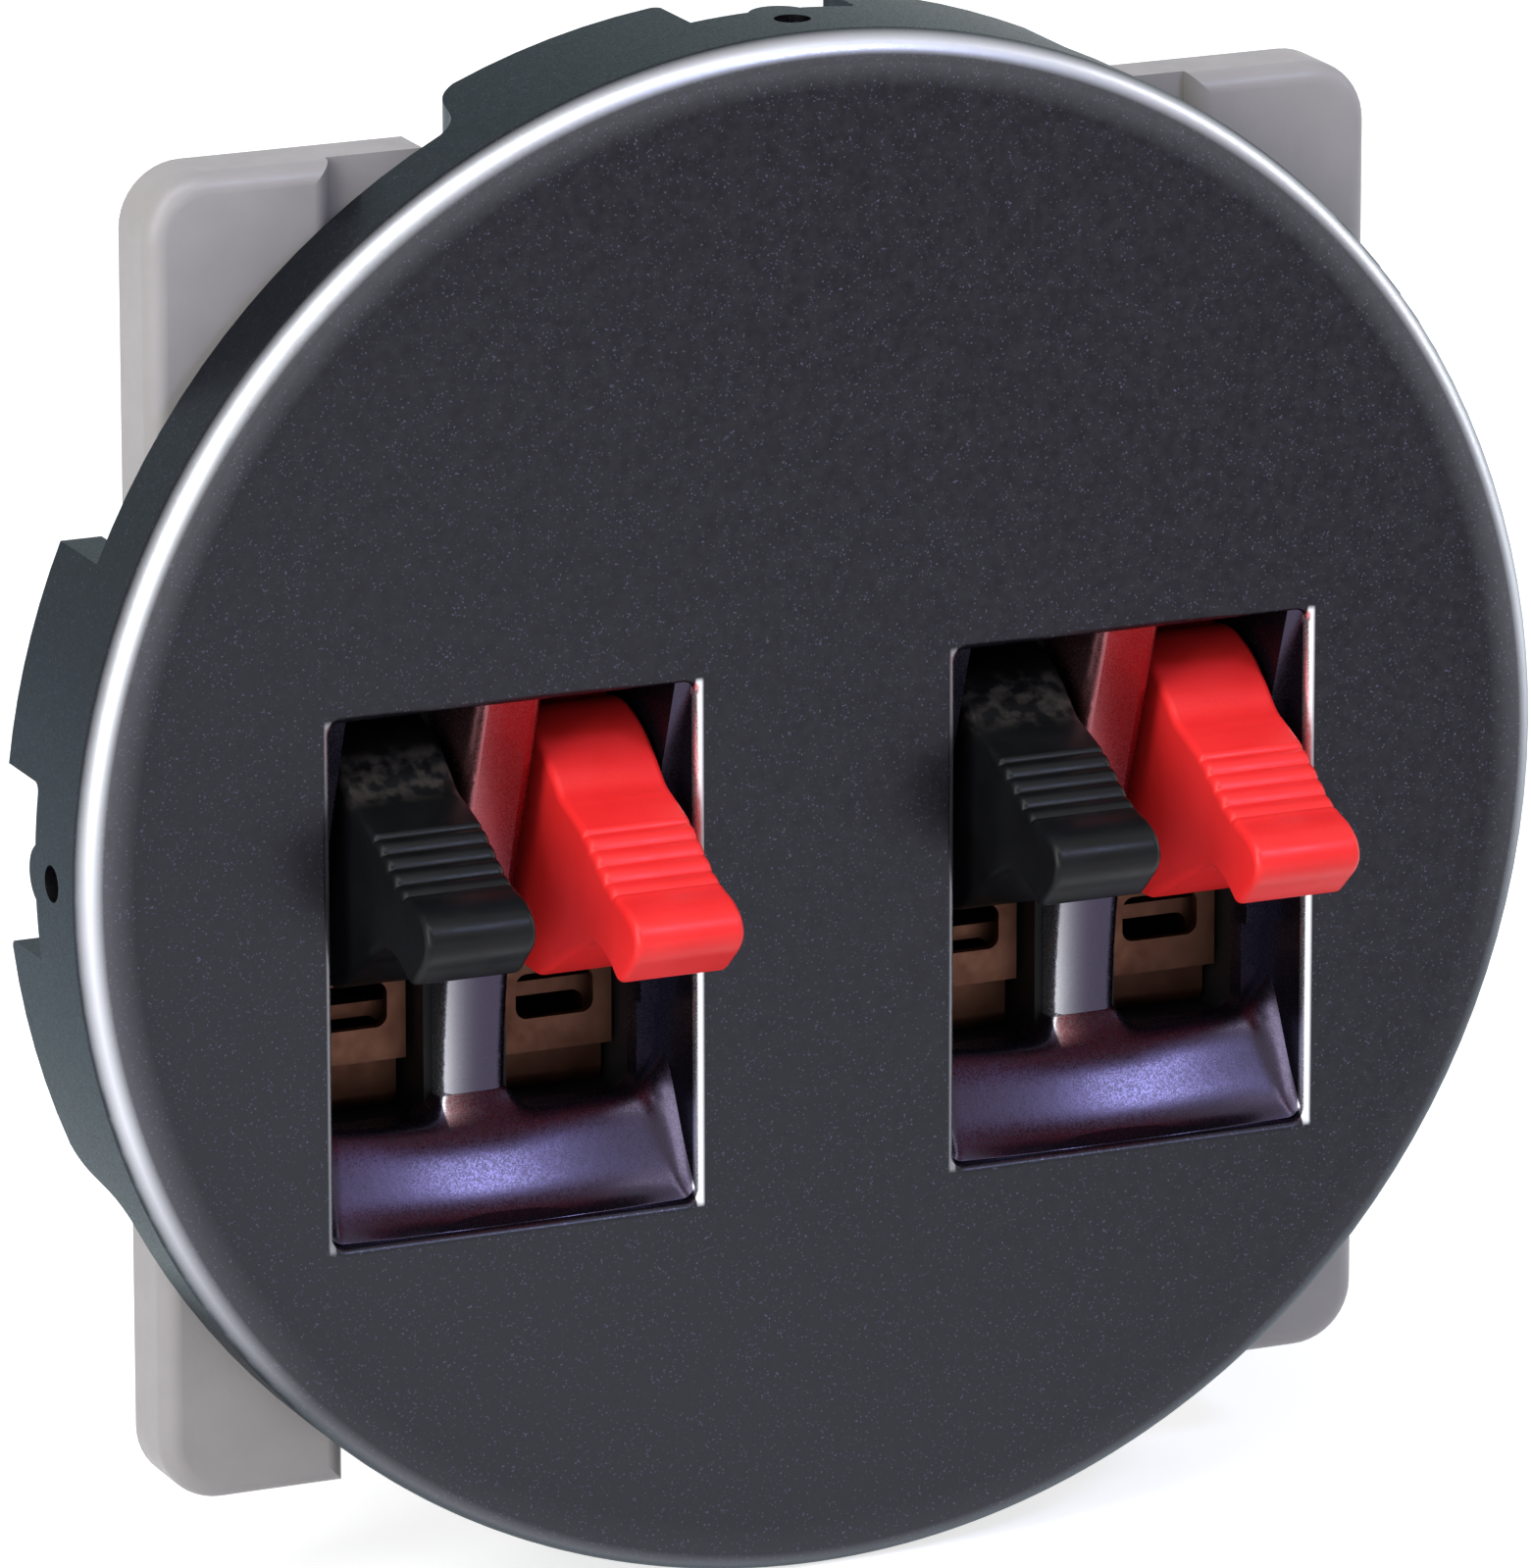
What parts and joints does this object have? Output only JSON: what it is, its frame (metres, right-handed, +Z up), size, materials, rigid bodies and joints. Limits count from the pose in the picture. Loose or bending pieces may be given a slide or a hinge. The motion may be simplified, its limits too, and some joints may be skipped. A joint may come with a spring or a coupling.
{
  "type": "speaker terminal plate",
  "caption": "Round flush wall plate with black and red spring push terminals for two loudspeaker pairs on a square carrier frame.",
  "frame": {"origin": "on the cap axis, in the plane of the carrier frame back face that seats on the wall box", "axes": "+X to the right seen from the front, +Y into the wall, +Z up; the cap faces -Y"},
  "size_m": [0.064, 0.0357, 0.064],
  "materials": {
    "cap_graphite": "graphite metallic, fine sparkle",
    "frame_grey": "light grey moulding, satin",
    "body_grey": "mid grey moulding",
    "housing_black": "black moulding",
    "lever_black": "black moulding, satin",
    "lever_red": "red moulding, satin",
    "spring_copper": "copper alloy strip",
    "steel": "zinc plated steel"
  },
  "bodies": {
    "plate": {"front_cap": "cap_graphite", "carrier_frame": "frame_grey", "rear_body": "body_grey", "left_terminal_housing": "housing_black", "left_lever_pin": "steel", "left_black_leaf_spring": "spring_copper", "left_black_contact_strip": "spring_copper", "left_black_contact_rivet": "steel", "left_red_leaf_spring": "spring_copper", "left_red_contact_strip": "spring_copper", "left_red_contact_rivet": "steel", "right_terminal_housing": "housing_black", "right_lever_pin": "steel", "right_black_leaf_spring": "spring_copper", "right_black_contact_strip": "spring_copper", "right_black_contact_rivet": "steel", "right_red_leaf_spring": "spring_copper", "right_red_contact_strip": "spring_copper", "right_red_contact_rivet": "steel", "cap_screw_upper_left": "steel", "body_screw_upper_left": "steel", "cap_screw_upper_right": "steel", "body_screw_upper_right": "steel", "cap_screw_lower_left": "steel", "body_screw_lower_left": "steel", "cap_screw_lower_right": "steel", "body_screw_lower_right": "steel"},
    "left_black_lever": {"left_black_lever": "lever_black"},
    "left_red_lever": {"left_red_lever": "lever_red"},
    "right_black_lever": {"right_black_lever": "lever_black"},
    "right_red_lever": {"right_red_lever": "lever_red"}
  },
  "joints": [
    {"name": "left_black_push", "type": "hinge", "parent": "plate", "child": "left_black_lever", "pos_m": [-0.01808, 0.0072, 0.0032], "axis": [1, 0, 0], "range_deg": [0, 10], "stiffness_Nm_per_rad": 0.38, "springref_deg": -10, "deforming": ["left_black_leaf_spring"]},
    {"name": "left_red_push", "type": "hinge", "parent": "plate", "child": "left_red_lever", "pos_m": [-0.00906, 0.0072, 0.0032], "axis": [1, 0, 0], "range_deg": [0, 10], "stiffness_Nm_per_rad": 0.38, "springref_deg": -10, "deforming": ["left_red_leaf_spring"]},
    {"name": "right_black_push", "type": "hinge", "parent": "plate", "child": "right_black_lever", "pos_m": [0.00906, 0.0072, 0.0032], "axis": [1, 0, 0], "range_deg": [0, 10], "stiffness_Nm_per_rad": 0.38, "springref_deg": -10, "deforming": ["right_black_leaf_spring"]},
    {"name": "right_red_push", "type": "hinge", "parent": "plate", "child": "right_red_lever", "pos_m": [0.01808, 0.0072, 0.0032], "axis": [1, 0, 0], "range_deg": [0, 10], "stiffness_Nm_per_rad": 0.38, "springref_deg": -10, "deforming": ["right_red_leaf_spring"]}
  ]
}
